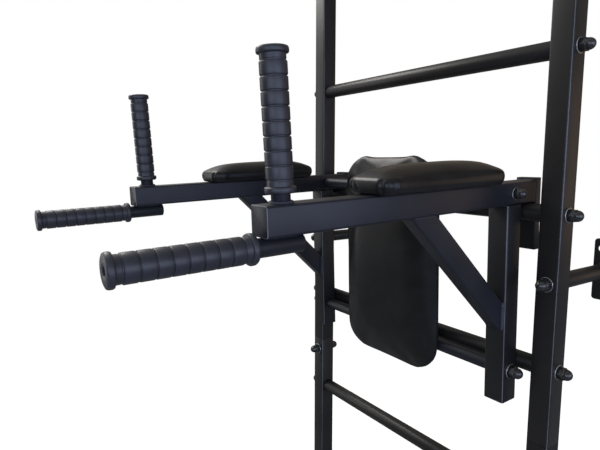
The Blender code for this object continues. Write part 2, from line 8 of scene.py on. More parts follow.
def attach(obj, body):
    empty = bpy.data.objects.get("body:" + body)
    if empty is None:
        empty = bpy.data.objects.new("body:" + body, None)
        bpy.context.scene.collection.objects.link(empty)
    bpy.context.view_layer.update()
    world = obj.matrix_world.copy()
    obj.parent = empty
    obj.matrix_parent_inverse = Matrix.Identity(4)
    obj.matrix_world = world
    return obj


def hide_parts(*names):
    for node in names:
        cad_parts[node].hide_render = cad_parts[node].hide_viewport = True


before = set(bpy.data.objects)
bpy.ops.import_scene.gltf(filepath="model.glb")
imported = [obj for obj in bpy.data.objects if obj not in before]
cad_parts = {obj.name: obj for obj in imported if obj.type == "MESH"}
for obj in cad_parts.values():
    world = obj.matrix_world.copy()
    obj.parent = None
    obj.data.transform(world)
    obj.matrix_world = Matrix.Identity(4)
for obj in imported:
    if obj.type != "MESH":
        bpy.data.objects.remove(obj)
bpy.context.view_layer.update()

print("frame loaded")

# Sizes in metres, in the frame's own axes: X along the rungs, +Y into the wall, +Z up

tube = {"size": 0.040, "wall": 0.002, "corner": 0.0038}
ladder = {
    "uprightX": 0.331,
    "uprightY": -0.190,
    "height": 2.2,
    "seam": 1.1,
    "pitch": 0.275,
    "rungs": 8,
    "rungDiameter": 0.032,
    "halfInner": 0.311,
    "seamBoltDrop": 0.0295,
}
bracketLevels = {"low": 0.5675, "middle": 1.3925, "top": 2.13125}
station = {"shift": -0.008, "hookHeight": 1.5125, "lean": math.asin(0.0099 / 0.275), "armX": 0.270}
stationPlace = (Matrix.Translation((station["shift"], ladder["uprightY"], station["hookHeight"]))
                @ Matrix.Rotation(station["lean"], 4, "X"))
sides = (("left", -1), ("right", 1))
gap = 0.0003


# Materials

def newMaterial(name):
    material = bpy.data.materials.new(name)
    material.use_nodes = True
    tree = material.node_tree
    return material, tree.nodes, tree.links, tree.nodes["Principled BSDF"]


def noiseTexture(nodes, links, coordinates, scale, detail=2.0, roughness=0.5):
    texture = nodes.new("ShaderNodeTexNoise")
    texture.inputs["Scale"].default_value = scale
    texture.inputs["Detail"].default_value = detail
    texture.inputs["Roughness"].default_value = roughness
    links.new(coordinates.outputs["Object"], texture.inputs["Vector"])
    return texture


def colourRamp(nodes, links, source, stops):
    ramp = nodes.new("ShaderNodeValToRGB")
    ramp.color_ramp.elements[0].position, ramp.color_ramp.elements[0].color = stops[0]
    ramp.color_ramp.elements[1].position, ramp.color_ramp.elements[1].color = stops[-1]
    for position, colour in stops[1:-1]:
        ramp.color_ramp.elements.new(position).color = colour
    links.new(source, ramp.inputs["Fac"])
    return ramp


def rangeOf(nodes, links, source, low, high):
    spread = nodes.new("ShaderNodeMapRange")
    spread.inputs["To Min"].default_value = low
    spread.inputs["To Max"].default_value = high
    links.new(source, spread.inputs["Value"])
    return spread.outputs["Result"]


def addBump(nodes, links, shader, layers):
    # each layer is a height, its depth in metres and its strength
    previous = None
    for height, depth, strength in layers:
        bump = nodes.new("ShaderNodeBump")
        bump.inputs["Distance"].default_value = depth
        bump.inputs["Strength"].default_value = strength
        links.new(height, bump.inputs["Height"])
        if previous is not None:
            links.new(previous.outputs["Normal"], bump.inputs["Normal"])
        previous = bump
    links.new(previous.outputs["Normal"], shader.inputs["Normal"])


def grey(value, tint=(1, 1, 1)):
    return (value * tint[0], value * tint[1], value * tint[2], 1)


def powderCoat(name, dark, light, tint, gloss):
    # fine textured powder coat: grain under a millimetre, slow cloudiness, slightly uneven gloss
    material, nodes, links, shader = newMaterial(name)
    coordinates = nodes.new("ShaderNodeTexCoord")
    cloud = noiseTexture(nodes, links, coordinates, 14, 3)
    grain = noiseTexture(nodes, links, coordinates, 1400, 2)
    peel = noiseTexture(nodes, links, coordinates, 330, 2)
    ramp = colourRamp(nodes, links, cloud.outputs["Fac"], [(0.3, grey(dark, tint)), (0.7, grey(light, tint))])
    links.new(ramp.outputs["Color"], shader.inputs["Base Color"])
    links.new(rangeOf(nodes, links, peel.outputs["Fac"], gloss - 0.05, gloss + 0.07), shader.inputs["Roughness"])
    shader.inputs["Specular IOR Level"].default_value = 0.25
    addBump(nodes, links, shader, [(grain.outputs["Fac"], 0.00006, 0.5), (peel.outputs["Fac"], 0.00012, 0.35)])
    return material


def glossyBlack(name, base, roughness):
    material, nodes, links, shader = newMaterial(name)
    coordinates = nodes.new("ShaderNodeTexCoord")
    smear = noiseTexture(nodes, links, coordinates, 120, 3)
    ramp = colourRamp(nodes, links, smear.outputs["Fac"], [(0.3, grey(base)), (0.8, grey(base * 1.7))])
    links.new(ramp.outputs["Color"], shader.inputs["Base Color"])
    links.new(rangeOf(nodes, links, smear.outputs["Fac"], roughness, roughness + 0.14), shader.inputs["Roughness"])
    addBump(nodes, links, shader, [(smear.outputs["Fac"], 0.00008, 0.25)])
    return material


def scratchedSteel(name, base, roughness):
    material, nodes, links, shader = newMaterial(name)
    coordinates = nodes.new("ShaderNodeTexCoord")
    scratch = noiseTexture(nodes, links, coordinates, 700, 3)
    ramp = colourRamp(nodes, links, scratch.outputs["Fac"], [(0.35, grey(base * 0.7)), (0.65, grey(base))])
    links.new(ramp.outputs["Color"], shader.inputs["Base Color"])
    links.new(rangeOf(nodes, links, scratch.outputs["Fac"], roughness, roughness + 0.15), shader.inputs["Roughness"])
    shader.inputs["Metallic"].default_value = 0.85
    addBump(nodes, links, shader, [(scratch.outputs["Fac"], 0.00004, 0.3)])
    return material


def gripRubber(name):
    material, nodes, links, shader = newMaterial(name)
    coordinates = nodes.new("ShaderNodeTexCoord")
    cloud = noiseTexture(nodes, links, coordinates, 35, 3)
    grain = noiseTexture(nodes, links, coordinates, 1900, 1)
    tint = (0.90, 0.95, 1.25)
    ramp = colourRamp(nodes, links, cloud.outputs["Fac"], [(0.3, grey(0.016, tint)), (0.7, grey(0.023, tint))])
    links.new(ramp.outputs["Color"], shader.inputs["Base Color"])
    links.new(rangeOf(nodes, links, cloud.outputs["Fac"], 0.38, 0.46), shader.inputs["Roughness"])
    shader.inputs["Specular IOR Level"].default_value = 0.40
    addBump(nodes, links, shader, [(grain.outputs["Fac"], 0.00005, 0.5)])
    return material


def leatherette(name):
    # pebbled vinyl: small cells and faint wrinkles, with soft broad gloss
    material, nodes, links, shader = newMaterial(name)
    coordinates = nodes.new("ShaderNodeTexCoord")
    cells = nodes.new("ShaderNodeTexVoronoi")
    cells.feature = "SMOOTH_F1"
    cells.inputs["Scale"].default_value = 780
    cells.inputs["Smoothness"].default_value = 0.6
    links.new(coordinates.outputs["Object"], cells.inputs["Vector"])
    cloud = noiseTexture(nodes, links, coordinates, 26, 3)
    wrinkle = noiseTexture(nodes, links, coordinates, 90, 3, 0.6)
    tint = (1.0, 0.99, 0.98)
    ramp = colourRamp(nodes, links, cloud.outputs["Fac"], [(0.3, grey(0.007, tint)), (0.7, grey(0.011, tint))])
    links.new(ramp.outputs["Color"], shader.inputs["Base Color"])
    links.new(rangeOf(nodes, links, cloud.outputs["Fac"], 0.26, 0.33), shader.inputs["Roughness"])
    shader.inputs["Specular IOR Level"].default_value = 0.19
    addBump(nodes, links, shader, [(cells.outputs["Distance"], 0.0001, 0.35), (wrinkle.outputs["Fac"], 0.0003, 0.25)])
    return material


def mouldedPlastic(name):
    material, nodes, links, shader = newMaterial(name)
    coordinates = nodes.new("ShaderNodeTexCoord")
    grain = noiseTexture(nodes, links, coordinates, 900, 2)
    ramp = colourRamp(nodes, links, grain.outputs["Fac"], [(0.3, grey(0.012)), (0.7, grey(0.018))])
    links.new(ramp.outputs["Color"], shader.inputs["Base Color"])
    shader.inputs["Roughness"].default_value = 0.42
    addBump(nodes, links, shader, [(grain.outputs["Fac"], 0.00005, 0.4)])
    return material


def plywood(name):
    # grain drawn out along Z, with darker lines
    material, nodes, links, shader = newMaterial(name)
    coordinates = nodes.new("ShaderNodeTexCoord")
    stretch = nodes.new("ShaderNodeMapping")
    stretch.inputs["Scale"].default_value = (1, 1, 0.12)
    links.new(coordinates.outputs["Object"], stretch.inputs["Vector"])
    fibre = nodes.new("ShaderNodeTexNoise")
    fibre.inputs["Scale"].default_value = 160
    fibre.inputs["Detail"].default_value = 5
    links.new(stretch.outputs["Vector"], fibre.inputs["Vector"])
    ramp = colourRamp(nodes, links, fibre.outputs["Fac"],
                      [(0.3, (0.010, 0.008, 0.006, 1)), (0.5, (0.022, 0.017, 0.012, 1)),
                       (0.75, (0.040, 0.030, 0.020, 1))])
    links.new(ramp.outputs["Color"], shader.inputs["Base Color"])
    shader.inputs["Roughness"].default_value = 0.75
    addBump(nodes, links, shader, [(fibre.outputs["Fac"], 0.0003, 0.4)])
    return material


ladderCoat = powderCoat("ladderCoat", 0.009, 0.013, (1.08, 1.0, 0.93), 0.38)
stationCoat = powderCoat("stationCoat", 0.010, 0.014, (0.88, 0.96, 1.30), 0.38)
# painted shade: the posts and hook legs get a darker copy of the station coat for the shade on them; their paint is the
# same as the arms'
postShadeCoat = powderCoat("postShadeCoat", 0.007, 0.010, (0.98, 0.99, 1.04), 0.40)
weldCoat = powderCoat("weldCoat", 0.020, 0.045, (0.88, 0.95, 1.3), 0.32)
# painted highlight: a light coat for the rim round the arms' closed front ends
frontRimHighlight = powderCoat("frontRimHighlight", 0.10, 0.16, (0.96, 0.97, 1.04), 0.30)
# painted highlight: a light coat on the outer tube corners, for the light lines they catch
cornerHighlightCoat = powderCoat("cornerHighlightCoat", 0.075, 0.13, (0.96, 0.97, 1.06), 0.32)
nutBlack = glossyBlack("nutBlack", 0.011, 0.16)
# painted highlight: bright steel on the washer rims, for the light their chamfers catch
rimHighlightSteel = scratchedSteel("rimHighlightSteel", 0.62, 0.22)
darkSteel = scratchedSteel("darkSteel", 0.10, 0.35)
rubber = gripRubber("gripRubber")
vinyl = leatherette("padVinyl")
plastic = mouldedPlastic("capPlastic")
boardWood = plywood("boardPlywood")
print("materials made")


# Modelling tools

def deselectAll():
    bpy.ops.object.select_all(action="DESELECT")


def makeActive(piece):
    deselectAll()
    piece.select_set(True)
    bpy.context.view_layer.objects.active = piece


def startEdit(piece, mode="FACE"):
    makeActive(piece)
    bpy.ops.object.mode_set(mode="EDIT")
    bpy.ops.mesh.select_mode(type=mode)
    bpy.ops.mesh.select_all(action="DESELECT")


def stopEdit():
    bpy.ops.object.mode_set(mode="OBJECT")


def pickFaces(piece, test):
    bpy.ops.mesh.select_all(action="DESELECT")
    bm = bmesh.from_edit_mesh(piece.data)
    for face in bm.faces:
        face.select_set(bool(test(face.calc_center_median(), face.normal)))
    bmesh.update_edit_mesh(piece.data)


def pickEdges(piece, test):
    bpy.ops.mesh.select_all(action="DESELECT")
    bm = bmesh.from_edit_mesh(piece.data)
    for edge in bm.edges:
        start, end = (vert.co for vert in edge.verts)
        edge.select_set(bool(test((start + end) / 2, (end - start).normalized())))
    bmesh.update_edit_mesh(piece.data)


def settle(piece):
    makeActive(piece)
    bpy.ops.object.transform_apply(location=True, rotation=True, scale=True)
    return piece


def applyModifiers(piece):
    makeActive(piece)
    for modifier in list(piece.modifiers):
        bpy.ops.object.modifier_apply(modifier=modifier.name)
    return piece


def softenEdges(piece, width, segments=2, angle=40):
    bevel = piece.modifiers.new("softEdges", "BEVEL")
    bevel.width = width
    bevel.segments = segments
    bevel.limit_method = "ANGLE"
    bevel.angle_limit = math.radians(angle)
    return applyModifiers(piece)


def joinPieces(pieces):
    deselectAll()
    for piece in pieces:
        piece.select_set(True)
    bpy.context.view_layer.objects.active = pieces[0]
    if len(pieces) > 1:
        bpy.ops.object.join()
    return bpy.context.view_layer.objects.active


def copyPiece(piece, place):
    makeActive(piece)
    bpy.ops.object.duplicate(linked=False)
    copy = bpy.context.view_layer.objects.active
    copy.matrix_world = place @ copy.matrix_world
    return settle(copy)


def finishPiece(piece, name, body, nodes=(), material=None, place=None, angle=35):
    if place is not None:
        piece.matrix_world = place @ piece.matrix_world
    settle(piece)
    piece.name = name
    piece.data.name = name
    if material is not None:
        piece.data.materials.clear()
        piece.data.materials.append(material)
    makeActive(piece)
    bpy.ops.object.shade_smooth_by_angle(angle=math.radians(angle))
    if nodes:
        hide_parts(*nodes)
    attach(piece, body)
    return piece


def removePiece(piece):
    bpy.data.objects.remove(piece)


def squareBar(width, depth, low, high, corner, segments=5):
    bpy.ops.mesh.primitive_cube_add(size=1, location=(0, 0, (low + high) / 2), scale=(width, depth, high - low))
    bar = settle(bpy.context.object)
    startEdit(bar, "EDGE")
    pickEdges(bar, lambda middle, run: abs(run.z) > 0.9)
    bpy.ops.mesh.bevel(offset=corner, segments=segments, affect="EDGES")
    stopEdit()
    return bar


def squareTube(width, depth, low, high, corner, wall, openLow=True, openHigh=True, rim=0.0005):
    # a bar whose open ends are inset to the wall and joined, or sunk to the closed end
    bar = squareBar(width, depth, low, high, corner)
    startEdit(bar)
    pickFaces(bar, lambda middle, normal: (openLow and normal.z < -0.9) or (openHigh and normal.z > 0.9))
    bpy.ops.mesh.inset(thickness=wall)
    if openLow and openHigh:
        bpy.ops.mesh.bridge_edge_loops()
    else:
        depthIn = high - low - wall
        bpy.ops.mesh.extrude_region_move(TRANSFORM_OT_translate={"value": (0, 0, depthIn if openLow else -depthIn)})
    stopEdit()
    return softenEdges(bar, rim)


def paintCornerHighlights(piece, coat):
    # painted highlight: the outer corners of a standing tube get a lighter coat, for the light lines they catch
    piece.data.materials.append(coat)
    piece.data.materials.append(cornerHighlightCoat)
    for face in piece.data.polygons:
        across = min(abs(face.normal.x), abs(face.normal.y))
        outer = math.hypot(face.center.x, face.center.y) > tube["size"] * 0.64
        face.material_index = 1 if across > 0.6 and outer else 0
    return piece


def roundTube(diameter, low, high, wall, openLow=True, openHigh=True, rim=0.0004, sides=48):
    bpy.ops.mesh.primitive_cylinder_add(vertices=sides, radius=diameter / 2, depth=high - low,
                                        location=(0, 0, (low + high) / 2))
    pipe = settle(bpy.context.object)
    startEdit(pipe)
    pickFaces(pipe, lambda middle, normal: (openLow and normal.z < -0.9) or (openHigh and normal.z > 0.9))
    bpy.ops.mesh.inset(thickness=wall)
    if openLow and openHigh:
        bpy.ops.mesh.bridge_edge_loops()
    else:
        depthIn = high - low - wall
        bpy.ops.mesh.extrude_region_move(TRANSFORM_OT_translate={"value": (0, 0, depthIn if openLow else -depthIn)})
    stopEdit()
    return softenEdges(pipe, rim)


def turnedPiece(profile, sides):
    # a disc at the first point of the profile, extruded and resized ring by ring to the last
    radius, height = profile[0]
    bpy.ops.mesh.primitive_circle_add(vertices=sides, radius=radius, fill_type="NGON", location=(0, 0, height))
    piece = settle(bpy.context.object)
    startEdit(piece)
    bpy.ops.mesh.select_all(action="SELECT")
    for nextRadius, nextHeight in profile[1:]:
        bpy.ops.mesh.extrude_region_move(TRANSFORM_OT_translate={"value": (0, 0, nextHeight - height)})
        share = nextRadius / radius
        bpy.ops.transform.resize(value=(share, share, 1), center_override=(0, 0, nextHeight))
        radius, height = nextRadius, nextHeight
    bpy.ops.mesh.select_all(action="SELECT")
    bpy.ops.mesh.normals_make_consistent(inside=False)
    stopEdit()
    return piece


def weldBead(start, end, radius):
    # a ripple every couple of millimetres along a short run
    start, end = Vector(start), Vector(end)
    run = end - start
    steps = max(6, round(run.length / 0.0016))
    profile = []
    for step in range(steps + 1):
        share = step / steps
        taper = min(1, 0.35 + 6 * min(share, 1 - share))
        ripple = 1 + 0.10 * math.cos(math.pi * step)
        profile.append((radius * taper * ripple, run.length * share))
    bead = turnedPiece(profile, 10)
    turn = run.to_track_quat("Z", "Y").to_matrix().to_4x4()
    bead.matrix_world = Matrix.Translation(start) @ turn
    return settle(bead)


def weldRing(radius, bead, centre, turn=(0, 0, 0)):
    bpy.ops.mesh.primitive_torus_add(major_segments=56, minor_segments=8, major_radius=radius,
                                     minor_radius=bead, location=centre, rotation=turn)
    ring = bpy.context.object
    startEdit(ring, "VERT")
    bm = bmesh.from_edit_mesh(ring.data)
    for vert in bm.verts:
        turnStep = round(math.atan2(vert.co.y, vert.co.x) / math.tau * 56)
        vert.select_set(turnStep % 2 == 0)
    bmesh.update_edit_mesh(ring.data)
    bpy.ops.transform.shrink_fatten(value=bead * 0.12)
    stopEdit()
    return settle(ring)


alongX = Matrix.Rotation(math.radians(90), 4, "Y")
towardsFront = Matrix.Rotation(math.radians(90), 4, "X")  # local Z points to -Y


# Fasteners: a washer and a domed cap nut, standing on local Z 0

nut = {"across": 0.0204, "hexHeight": 0.0102, "domeDiameter": 0.0196, "domeBase": 0.0030, "height": 0.0226,
       "washerDiameter": 0.026, "washerThickness": 0.002, "facets": 6}
smallNut = {"washerDiameter": 0.021, "length": 0.020}
rodSizes = {"diameter": 0.012, "wall": 0.002}


def capNut():
    seat = nut["washerThickness"]
    bpy.ops.mesh.primitive_cylinder_add(vertices=nut["facets"], radius=nut["across"] / math.sqrt(3),
                                        depth=nut["hexHeight"], location=(0, 0, seat + nut["hexHeight"] / 2))
    body = softenEdges(settle(bpy.context.object), 0.0009, 3)
    dome = nut["domeDiameter"] / 2
    base = seat + nut["hexHeight"] - 0.0008
    top = seat + nut["height"]
    rise = top - base - nut["domeBase"]
    profile = [(dome * 1.04, base), (dome * 1.04, base + 0.0012), (dome, base + 0.0018), (dome, base + nut["domeBase"])]
    profile += [(dome * math.cos(math.radians(angle)), base + nut["domeBase"] + rise * math.sin(math.radians(angle)))
                for angle in range(10, 90, 10)]
    profile.append((dome * 0.03, top))
    cap = turnedPiece(profile, 40)
    cap = joinPieces([body, cap])
    cap.data.materials.append(nutBlack)
    washer = roundTube(nut["washerDiameter"], 0, nut["washerThickness"], 0.0066, rim=0.0005)
    washer.data.materials.append(nutBlack)
    washer.data.materials.append(rimHighlightSteel)
    # painted highlight: the washer's outer rim takes the bright rim steel
    rimStart = nut["washerDiameter"] / 2 - 0.0007
    for face in washer.data.polygons:
        middle = face.center
        face.material_index = 1 if math.hypot(middle.x, middle.y) > rimStart else 0
    return joinPieces([washer, cap])


nutMaster = capNut()


def fastenedRod(name, body, length, centre, turn, nodes, small=False):
    # the rod runs along local Z, and a nut stands on the seat at each end
    seat = length / 2 + gap
    pieces = []
    shape = Matrix.Identity(4)
    if small:
        wide = smallNut["washerDiameter"] / nut["washerDiameter"]
        shape = Matrix.Diagonal((wide, wide, smallNut["length"] / (nut["height"] + nut["washerThickness"]), 1))
    for sign in (1, -1):
        place = Matrix.Translation((0, 0, sign * seat)) @ Matrix.Rotation(0 if sign > 0 else math.pi, 4, "X")
        pieces.append(copyPiece(nutMaster, place @ shape))
    rod = roundTube(rodSizes["diameter"], -seat, seat, rodSizes["wall"], rim=0.0003, sides=24)
    rod.data.materials.append(darkSteel)
    whole = joinPieces(pieces + [rod])
    return finishPiece(whole, name, body, nodes, place=Matrix.Translation(centre) @ turn)


# Ladder

endCap = {"head": 0.004, "skirt": 0.015, "clearance": 0.0004}


def rungHeight(index):
    return (index - 0.5) * ladder["pitch"]


def buildUprights():
    for side, sign in sides:
        place = Matrix.Translation((sign * ladder["uprightX"], ladder["uprightY"], 0))
        cap = endCap["head"] + gap
        spans = (("lower", cap, ladder["seam"] - gap / 2), ("upper", ladder["seam"] + gap / 2, ladder["height"] - cap))
        for level, low, high in spans:
            section = squareTube(tube["size"], tube["size"], low, high, tube["corner"], tube["wall"], rim=0.0006)
            # painted highlights on the upright's outer corners
            finishPiece(paintCornerHighlights(section, ladderCoat), f"uprightTube_{side}_{level}", "ladder",
                        [f"upright_{side}_{level}"], place=place)
        top = ladder["height"]
        for end, low, high in (("foot", 0, endCap["head"]), ("top", top - endCap["head"], top)):
            head = squareBar(tube["size"], tube["size"], low, high, tube["corner"])
            inward = 1 if end == "foot" else -1
            startEdit(head)
            pickFaces(head, lambda middle, normal: normal.z * inward > 0.9)
            bpy.ops.mesh.inset(thickness=tube["wall"] + endCap["clearance"])
            bpy.ops.mesh.extrude_region_move(TRANSFORM_OT_translate={"value": (0, 0, inward * endCap["skirt"])})
            stopEdit()
            softenEdges(head, 0.0012, 3)
            finishPiece(head, f"capPlug_{side}_{end}", "ladder", [f"{end}_cap_{side}"], plastic, place)


def buildRungs():
    half = ladder["halfInner"] - gap
    for index in range(1, ladder["rungs"] + 1):
        centre = Vector((0, ladder["uprightY"], rungHeight(index)))
        bar = roundTube(ladder["rungDiameter"], -half, half, 0.0015, sides=56)
        finishPiece(bar, f"rungTube_{index}", "ladder", [f"rung_{index}"], ladderCoat,
                    Matrix.Translation(centre) @ alongX)
        fastenedRod(f"rungFastener_{index}", "ladder", 2 * (ladder["halfInner"] + tube["size"]), centre, alongX,
                    [f"rung_rod_{index}"])


def buildSeamBolts():
    for side, sign in sides:
        centre = Vector((sign * ladder["uprightX"], ladder["uprightY"], ladder["seam"] - ladder["seamBoltDrop"]))
        fastenedRod(f"seamFastener_{side}", "ladder", tube["size"], centre, towardsFront, [f"seam_bolt_{side}"])


bracket = {"tubeDiameter": 0.029, "plateWidth": 0.047, "plateHeight": 0.121, "plateThickness": 0.004,
           "plateCorner": 0.006, "hole": 0.012, "holeAcross": 0.022, "holeUp": 0.082}


def wallPlate():
    # lies in local X and Y with its back on local Z 0; the wall is behind it
    plate = squareBar(bracket["plateWidth"], bracket["plateHeight"], 0, bracket["plateThickness"],
                      bracket["plateCorner"], 8)
    for end in (-1, 1):
        bpy.ops.mesh.primitive_cylinder_add(vertices=32, radius=bracket["hole"] / 2, depth=0.02,
                                            location=(end * bracket["holeAcross"] / 2, -end * bracket["holeUp"] / 2, 0))
        cutter = bpy.context.object
        cut = plate.modifiers.new("screwHole", "BOOLEAN")
        cut.operation = "DIFFERENCE"
        cut.object = cutter
        applyModifiers(plate)
        removePiece(cutter)
    return softenEdges(plate, 0.0006, 2)


def buildBrackets():
    depth = -ladder["uprightY"]
    for side, sign in sides:
        for level, height in bracketLevels.items():
            plate = wallPlate()
            front = depth - tube["size"] / 2 - gap
            standoff = roundTube(bracket["tubeDiameter"], 0.0005, front, 0.003, sides=48)
            weld = weldRing(bracket["tubeDiameter"] / 2 + 0.0004, 0.0022, (0, 0, bracket["plateThickness"] + 0.0006))
            for piece, material in ((plate, ladderCoat), (standoff, ladderCoat), (weld, weldCoat)):
                piece.data.materials.append(material)
            seat = depth + tube["size"] / 2 + gap
            rod = roundTube(rodSizes["diameter"], front - 0.01, seat, rodSizes["wall"], sides=24)
            rod.data.materials.append(darkSteel)
            fastener = copyPiece(nutMaster, Matrix.Translation((0, 0, seat)))
            whole = joinPieces([plate, standoff, weld, rod, fastener])
            place = Matrix.Translation((sign * ladder["uprightX"], 0, height)) @ towardsFront
            finishPiece(whole, f"wallBracket_{side}_{level}", "ladder",
                        [f"wall_bracket_{side}_{level}"], place=place)


# Dip station, in its own axes: the origin is on the rung's axis and the lean comes with stationPlace

frameSizes = {"armBottom": 0.0163, "armTop": 0.0563, "armFront": -0.542, "armBack": 0.016,
              "postFront": -0.0662, "postCentre": -0.0462, "postLow": -0.345,
              "legFront": 0.0163, "legDepth": 0.016, "legLow": -0.071, "legHigh": 0.0603,
              "upperBar": 0.0363, "lowerBar": -0.287, "barDiameter": 0.025}
frontRim = 0.0009
braceSizes = {"width": 0.028, "depth": 0.040, "centreSum": -0.24828}


def stationPiece(piece, name, nodes, material, local=None, angle=35):
    place = stationPlace if local is None else stationPlace @ local
    return finishPiece(piece, name, "dip_station", nodes, material, place, angle)


def buildStationFrame():
    f = frameSizes
    for side, sign in sides:
        x = sign * station["armX"]
        arm = squareTube(tube["size"], tube["size"], f["armFront"], f["armBack"], tube["corner"], tube["wall"],
                         openLow=False, rim=frontRim)
        arm.data.materials.append(stationCoat)
        arm.data.materials.append(frontRimHighlight)
        for face in arm.data.polygons:
            # painted highlight: the rim round the closed front end gets a lighter coat, for the light line it catches
            atRim = face.center.z < f["armFront"] + frontRim and face.normal.z > -0.98
            face.material_index = 1 if atRim else 0
        lying = Matrix.Translation((x, 0, f["upperBar"])) @ Matrix.Rotation(math.radians(-90), 4, "X")
        stationPiece(arm, f"armTube_{side}", [f"arm_{side}"], None, lying)
        # painted shade on the posts: the darker post coat, with painted highlights on the outer corners
        post = squareTube(tube["size"], tube["size"], f["postLow"], f["armBottom"] - gap, tube["corner"], tube["wall"])
        stationPiece(paintCornerHighlights(post, postShadeCoat), f"postTube_{side}", [f"post_{side}"], None,
                     Matrix.Translation((x, f["postCentre"], 0)))
        # painted shade on the hook leg: the darker post coat
        leg = squareTube(tube["size"], f["legDepth"], f["legLow"], f["legHigh"], 0.0025, tube["wall"], openHigh=False)
        stationPiece(leg, f"hookLeg_{side}_tube", [f"hook_leg_{side}"], postShadeCoat,
                     Matrix.Translation((x, f["legFront"] + f["legDepth"] / 2, 0)))
        buildBrace(side, x)


def buildBrace(side, x):
    f = frameSizes
    bar = squareBar(braceSizes["width"], braceSizes["depth"], -0.18, 0.18, tube["corner"])
    armEnd = Vector((0, braceSizes["centreSum"] - f["armBottom"], f["armBottom"]))
    postEnd = Vector((0, f["postFront"] - gap, braceSizes["centreSum"] - f["postFront"]))
    middle = (armEnd + postEnd) / 2
    bar.matrix_world = Matrix.Translation(middle) @ Matrix.Rotation(math.radians(45), 4, "X")
    settle(bar)
    for point, normal in (((0, 0, f["armBottom"] - gap), (0, 0, 1)), ((0, f["postFront"] - gap, 0), (0, 1, 0))):
        startEdit(bar)
        bpy.ops.mesh.select_all(action="SELECT")
        bpy.ops.mesh.bisect(plane_co=point, plane_no=normal, use_fill=True, clear_outer=True)
        stopEdit()
    stationPiece(bar, f"braceTube_{side}", [f"brace_{side}"], stationCoat,
                 Matrix.Translation((x, 0, 0)))


def buildCrossbars():
    f = frameSizes
    half = station["armX"] - tube["size"] / 2 - gap
    for level, height in (("upper", f["upperBar"]), ("lower", f["lowerBar"])):
        centre = Matrix.Translation((0, f["postCentre"], height))
        bar = roundTube(f["barDiameter"], -half, half, 0.002)
        stationPiece(bar, f"crossbarTube_{level}", [f"{level}_crossbar"], stationCoat, centre @ alongX)
        rodCentre = stationPlace @ Vector((0, f["postCentre"], height))
        turn = stationPlace.to_3x3().to_4x4() @ alongX
        fastenedRod(f"crossbarFastener_{level}", "dip_station", 2 * station["armX"] + tube["size"], rodCentre, turn,
                    [f"{level}_crossbar_rod"], level == "upper")


handle = {"diameter": 0.025, "frontStart": -0.481, "frontGrip": -0.551, "uprightY": -0.5094, "uprightStub": 0.012,
          "lean": math.radians(1.5)}
grip = {"length": 0.176, "body": 0.035, "neck": 0.033, "flange": 0.0405, "flangeThickness": 0.009,
        "margin": 0.0166, "grooves": 9, "grooveDepth": 0.0016, "grooveWidth": 0.0020, "vent": 0.011}


def gripProfile():
    body, neck, flange = grip["body"] / 2, grip["neck"] / 2, grip["flange"] / 2
    thick = grip["flangeThickness"]
    bore = handle["diameter"] / 2 + gap
    pitch = (grip["length"] - 2 * grip["margin"]) / (grip["grooves"] - 1)
    low = [(flange - 0.0028, 0), (flange - 0.0010, 0.0008), (flange - 0.0002, 0.0024), (flange, 0.0040),
           (flange, thick - 0.0022), (flange - 0.0006, thick - 0.0009), (flange - 0.0022, thick - 0.0004),
           (neck + 0.0002, thick), (neck, thick + 0.0008)]
    grooves = []
    for index in range(grip["grooves"]):
        centre = grip["margin"] + index * pitch
        half = grip["grooveWidth"] / 2
        before = neck if index == 0 else body
        after = neck if index == grip["grooves"] - 1 else body
        grooves += [(before, centre - half - 0.0010), (before - 0.0002, centre - half - 0.0003),
                    (before - 0.0006, centre - half + 0.0002),
                    (body - grip["grooveDepth"], centre - half * 0.5),
                    (body - grip["grooveDepth"], centre + half * 0.5),
                    (after - 0.0006, centre + half - 0.0002), (after - 0.0002, centre + half + 0.0003),
                    (after, centre + half + 0.0010)]
    high = [(radius, grip["length"] - height) for radius, height in reversed(low)]
    vent = grip["vent"] / 2
    end = [(vent + 0.004, grip["length"] + 0.0002), (vent + 0.0012, grip["length"] - 0.0001),
           (vent, grip["length"] - 0.0008), (vent, grip["length"] - 0.0046), (0.0006, grip["length"] - 0.0046)]
    mouth = [(bore, 0.016), (bore, 0.0006), (bore + 0.0008, 0)]
    return mouth + low + grooves + high + end


def buildHandles():
    f = frameSizes
    profile = gripProfile()
    for side, sign in sides:
        x = sign * station["armX"]
        frontZ = f["armBottom"] - gap - handle["diameter"] / 2
        frontReach = handle["frontStart"] - (handle["frontGrip"] - grip["length"] + 0.0053)
        pipe = roundTube(handle["diameter"], 0, frontReach, 0.002, openLow=False, rim=0.0022)
        stationPiece(pipe, f"frontHandlePipe_{side}", [f"front_handle_{side}"], stationCoat,
                     Matrix.Translation((x, handle["frontStart"], frontZ)) @ towardsFront)
        sleeve = turnedPiece(profile, 64)
        stationPiece(sleeve, f"frontGripSleeve_{side}", [f"front_grip_{side}"], rubber,
                     Matrix.Translation((x, handle["frontGrip"], frontZ)) @ towardsFront, 50)
        lift = gap + handle["diameter"] / 2 * math.sin(handle["lean"])
        foot = (Matrix.Translation((x, handle["uprightY"], f["armTop"] + lift))
                @ Matrix.Rotation(handle["lean"], 4, "X"))
        pipe = roundTube(handle["diameter"], 0, handle["uprightStub"] + grip["length"] - 0.0053, 0.002)
        stationPiece(pipe, f"uprightHandlePipe_{side}", [f"upright_handle_{side}"], stationCoat, foot)
        sleeve = turnedPiece(profile, 64)
        stationPiece(sleeve, f"uprightGripSleeve_{side}", [f"upright_grip_{side}"], rubber,
                     foot @ Matrix.Translation((0, 0, handle["uprightStub"])), 50)


# radius of each bead
weldSizes = {"brace": 0.0038, "braceTop": 0.0018, "frontHandle": 0.0026, "uprightHandle": 0.0028,
             "post": 0.0016, "armBack": 0.0012}


